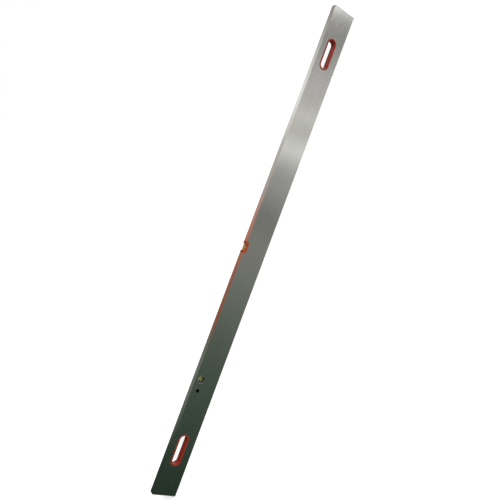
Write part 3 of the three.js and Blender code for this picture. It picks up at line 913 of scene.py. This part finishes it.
def vial_fittings(vial, axis, sides, vials):
    """Plugs, marker lines and bubble of one vial."""
    rubber = moulded_plastic(f"{vial}_plug_rubber", vials.plug, 0.02 * MM, 0.5)
    ink = moulded_plastic(f"{vial}_line_ink", shade(vials.plug, 0.3)[:3], 0.005 * MM, 0.45)
    for place, side in sides.items():
        node = f"{vial}_vial_plug_{place}"
        points = plug_points(node, axis, side)
        plug = to_object(spun(points, axis, box_middle(node), SMALL_TURN),
                         f"{vial}_plug_{place}")
        finish_piece(plug, [node], rubber)
        node = f"{vial}_vial_line_{place}"
        points = ring_points(node, axis, vials.line_wall)
        line = to_object(spun(points, axis, box_middle(node), TURN, closed=True),
                         f"{vial}_line_{place}")
        finish_piece(line, [node], ink)
    node = f"{vial}_bubble"
    bubble = to_object(spun(bubble_points(node, axis), axis, box_middle(node), SMALL_TURN),
                       f"{vial}_gas")
    finish_piece(bubble, [node], gas_bubble(), body=node)


# ---- plumb vial ----------------------------------------------------------------------------
class STRAIGHTEDGE_OT_plumb_window(bpy.types.Operator):
    """Models the two halves of the plumb window's frame and their lenses"""
    bl_idname = "straightedge.plumb_window"
    bl_label = "Plumb window"

    def execute(self, context):
        vials = context.scene.straightedge_vials
        frames = context.scene.straightedge_window
        play = context.scene.straightedge_slots.play
        # The web colour and depth given here paint light into the shaded recess behind the plumb vial.
        finish = frame_plastic(vials.bezel, vials.web, vials.painted_light_depth)
        glass = clear_acrylic()
        middle = box_middle("plumb_vial_tube")
        for face, side in FACES.items():
            node = f"plumb_bezel_{face}"
            bm = spun(self.section(node, frames), "y", (0, 0, 0), WIDE_TURN)
            bezel = to_object(bm, f"bezel_{face}")
            self.add_seats(bezel, frames, play)
            turn = Matrix.Rotation(math.pi if side > 0 else 0, 4, "Z")
            bezel.data.transform(Matrix.Translation(middle) @ turn)
            finish_piece(bezel, [node], finish)
            node = f"plumb_lens_{face}"
            size = box_size(node)
            half, radius = size.y / 2, size.x / 2
            points = [(0, -half), *rounded_ends(radius, half, frames.lens_edge), (0, half)]
            lens = to_object(spun(points, "y", box_middle(node), WIDE_TURN), f"lens_{face}")
            finish_piece(lens, [node], glass)
        return {"FINISHED"}

    @staticmethod
    def section(node, frames):
        """A half's section about the window's axis, facing -Y.

        Its front is the node's lowest Y. For the back node that is its inner side, so the
        back half's mouth and flange differ from the front half's.
        """
        low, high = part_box("plumb_lens_front")
        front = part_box(node)[0].y
        seat = -box_size("straightedge_profile").y / 2 - frames.seat_gap
        groove = (high.x - low.x) / 2 + frames.play
        groove_front, groove_back = low.y - frames.play, high.y + frames.play
        mouth = groove_front - front
        flange, sleeve = box_size(node).x / 2, groove + frames.sleeve
        inside, lip = groove - frames.step, groove - frames.lip
        middle, web, edge = -frames.half_gap, -frames.web, frames.edge
        return [(0, web), (inside - edge, web), (inside, web - edge), (inside, groove_back),
                (groove, groove_back), (groove, groove_front),
                *arc((lip + mouth, groove_front), mouth, 180, 270, MOUTH_STEPS),
                *arc((flange - edge, front + edge), edge, 270, 360, RIM_STEPS),
                (flange, seat), (sleeve, seat), (sleeve, middle), (0, middle)]

    @staticmethod
    def add_seats(bezel, frames, play):
        """Adds the two seats for the tube's ends, and cuts the tube's bed out of the half."""
        tube = box_size("plumb_vial_tube")
        radius, half = tube.x / 2 + frames.bed_play, tube.z / 2 + frames.bed_play
        wide = frames.seat_half
        bodies = []
        for side in (1, -1):
            low, high = sorted((side * frames.seat_inner, side * frames.seat_outer))
            bodies.append(block((-wide, -frames.seat_depth, low), (wide, -play / 2, high),
                                frames.seat_edge))
        combine(bezel, bodies, "UNION")
        bed = rod(radius, -half, half, "z", (0, 0, 0), SMALL_TURN)
        combine(bezel, [bed], "DIFFERENCE")


class STRAIGHTEDGE_OT_plumb_vial(bpy.types.Operator):
    """Models the plumb vial tube, its plugs, marker lines and bubble"""
    bl_idname = "straightedge.plumb_vial"
    bl_label = "Plumb vial"

    def execute(self, context):
        vials = context.scene.straightedge_vials
        node = "plumb_vial_tube"
        size = box_size(node)
        outer = rounded_ends(size.x / 2, size.z / 2, vials.tube_edge)
        bore = list(reversed(crowned(vials.plumb_bore, vials.plumb_crown, size.z)))
        tube = to_object(spun(outer + bore, "z", box_middle(node), TURN, closed=True),
                         "plumb_tube")
        finish_piece(tube, [node], tinted_acrylic(vials.spirit))
        vial_fittings("plumb", "z", {"lower": -1, "upper": 1}, vials)
        return {"FINISHED"}


# ---- stage ---------------------------------------------------------------------------------
def floor_finish(colour, glow):
    material, graph, sockets = new_finish("studio_floor", Specular_IOR_Level=0.0,
                                          Emission_Color=(1, 1, 1, 1), Emission_Strength=glow)
    cloud = graph.noise(0.8, detail=2.0)
    graph.feed(sockets["Base Color"], graph.mix(cloud, shade(colour, 0.99), shade(colour, 1.0)))
    graph.feed(sockets["Roughness"], 0.9 + cloud * 0.05)
    return material


# The room's walls as low and as high reflections see them, by direction along the bar.
LOWER_ROOM = [
    (0.078, (0.032, 0.053, 0.035)), (0.166, (0.059, 0.088, 0.066)),
    (0.276, (0.094, 0.127, 0.096)), (0.371, (0.155, 0.183, 0.151)), (0.47, (0.255, 0.275, 0.24)),
    (0.53, (0.305, 0.308, 0.275)), (0.59, (0.25, 0.25, 0.24)), (0.644, (0.43, 0.43, 0.42)),
    (0.69, (0.50, 0.50, 0.485)), (0.72, (1.10, 1.09, 1.05)), (0.738, (0.95, 0.94, 0.90)),
    (0.761, (0.60, 0.59, 0.57)), (0.784, (0.95, 0.94, 0.90)), (0.815, (0.66, 0.65, 0.63)),
    (0.848, (0.68, 0.67, 0.65)), (0.926, (0.335, 0.33, 0.32)), (0.955, (0.30, 0.295, 0.275)),
    (0.985, (2.8, 2.8, 2.75)),
]
UPPER_ROOM = [
    (0.09, (0.032, 0.051, 0.038)), (0.145, (0.048, 0.079, 0.053)), (0.21, (0.17, 0.19, 0.165)),
    (0.276, (0.226, 0.235, 0.199)), (0.325, (0.188, 0.21, 0.163)), (0.347, (0.25, 0.164, 0.127)),
    (0.37, (0.365, 0.123, 0.066)), (0.42, (0.378, 0.156, 0.10)), (0.47, (0.455, 0.159, 0.114)),
    (0.546, (0.66, 0.265, 0.168)), (0.596, (0.677, 0.354, 0.303)), (0.645, (0.59, 0.53, 0.47)),
    (0.717, (0.68, 0.65, 0.61)), (0.806, (1.2, 1.19, 1.15)), (0.85, (1.1, 1.09, 1.05)),
    (0.947, (0.45, 0.43, 0.405)),
]


class STRAIGHTEDGE_OT_stage(bpy.types.Operator):
    """Sets up the floor, the soft light and the camera"""
    bl_idname = "straightedge.stage"
    bl_label = "Stage"

    def execute(self, context):
        settings = context.scene.straightedge_stage
        context.scene.view_settings.view_transform = "Standard"
        self.make_floor(settings)
        self.make_room(context.scene, settings)
        self.make_key_light(settings)
        self.make_camera(context.scene, settings)
        return {"FINISHED"}

    @staticmethod
    def make_floor(settings):
        bm = bmesh.new()
        bmesh.ops.create_grid(bm, x_segments=1, y_segments=1, size=settings.floor_size / 2)
        floor = to_object(bm, "studio_floor")
        floor.data.materials.append(floor_finish(settings.floor, settings.floor_glow))
        floor.visible_glossy = False

    @staticmethod
    def make_room(scene, settings):
        """An even white room, with darker and brighter walls that only reflections show."""
        world = bpy.data.worlds.new("studio_room")
        world.use_nodes = True
        world.cycles.sampling_method = "NONE"
        scene.world = world
        graph = Graph(world.node_tree)
        direction = graph.node("ShaderNodeTexCoord", output="Generated")
        split = graph.node("ShaderNodeSeparateXYZ", None, {0: direction}).socket.node
        along = Value(graph, split.outputs["X"]) + 0.5
        up = Value(graph, split.outputs["Z"])
        lower = graph.node("ShaderNodeValToRGB", {"stops": LOWER_ROOM}, {0: along})
        upper = graph.node("ShaderNodeValToRGB", {"stops": UPPER_ROOM}, {0: along})
        walls = graph.mix(up.step(-0.1, 0.1), lower, upper)
        is_reflection = graph.node("ShaderNodeLightPath", output="Is Glossy Ray")
        is_view = graph.node("ShaderNodeLightPath", output="Is Camera Ray")
        soft = graph.mix(is_view, shade((1, 1, 1), settings.sky), (1, 1, 1, 1))
        background = world.node_tree.nodes["Background"]
        graph.feed(background.inputs["Color"], graph.mix(is_reflection, soft, walls))

    @staticmethod
    def make_key_light(settings):
        light = bpy.data.lights.new("key_light", "SUN")
        light.energy = settings.key
        light.angle = math.radians(40)
        lamp = bpy.data.objects.new("key_light", light)
        lamp.visible_glossy = False
        lamp.rotation_euler = Vector(settings.key_from).to_track_quat("Z", "Y").to_euler()
        bpy.context.scene.collection.objects.link(lamp)

    @staticmethod
    def make_camera(scene, settings):
        data = bpy.data.cameras.new("camera")
        data.lens = settings.lens
        camera = bpy.data.objects.new("camera", data)
        camera.location = settings.position
        camera.rotation_euler = Euler(settings.rotation)
        scene.collection.objects.link(camera)
        scene.camera = camera


# ---- panel and registration ----------------------------------------------------------------
OPERATORS = (
    STRAIGHTEDGE_OT_profile,
    STRAIGHTEDGE_OT_end_caps,
    STRAIGHTEDGE_OT_hand_slots,
    STRAIGHTEDGE_OT_level_saddle,
    STRAIGHTEDGE_OT_saddle_screws,
    STRAIGHTEDGE_OT_level_vial,
    STRAIGHTEDGE_OT_plumb_window,
    STRAIGHTEDGE_OT_plumb_vial,
    STRAIGHTEDGE_OT_stage,
)
SETTINGS = {
    "straightedge_profile": ProfileSettings,
    "straightedge_caps": CapSettings,
    "straightedge_slots": SlotSettings,
    "straightedge_vials": VialSettings,
    "straightedge_screws": ScrewSettings,
    "straightedge_window": WindowSettings,
    "straightedge_stage": StageSettings,
}


class STRAIGHTEDGE_PT_pieces(bpy.types.Panel):
    """Lists the pieces of the straightedge and its stage"""
    bl_idname = "STRAIGHTEDGE_PT_pieces"
    bl_label = "Screeding Straightedge"
    bl_space_type = "VIEW_3D"
    bl_region_type = "UI"
    bl_category = "Straightedge"

    def draw(self, context):
        for operator in OPERATORS:
            self.layout.operator(operator.bl_idname)
        for name, group in SETTINGS.items():
            column = self.layout.column(heading=name)
            settings = getattr(context.scene, name)
            for item in group.__annotations__:
                column.prop(settings, item)


def register():
    for group in (*SETTINGS.values(), *OPERATORS, STRAIGHTEDGE_PT_pieces):
        bpy.utils.register_class(group)
    for name, group in SETTINGS.items():
        setattr(bpy.types.Scene, name, PointerProperty(type=group))


def unregister():
    for name in SETTINGS:
        delattr(bpy.types.Scene, name)
    for group in (STRAIGHTEDGE_PT_pieces, *reversed(OPERATORS), *reversed(SETTINGS.values())):
        bpy.utils.unregister_class(group)


def main():
    register()
    for operator in OPERATORS:
        family, name = operator.bl_idname.split(".")
        getattr(getattr(bpy.ops, family), name)()


if __name__ == "__main__":
    main()
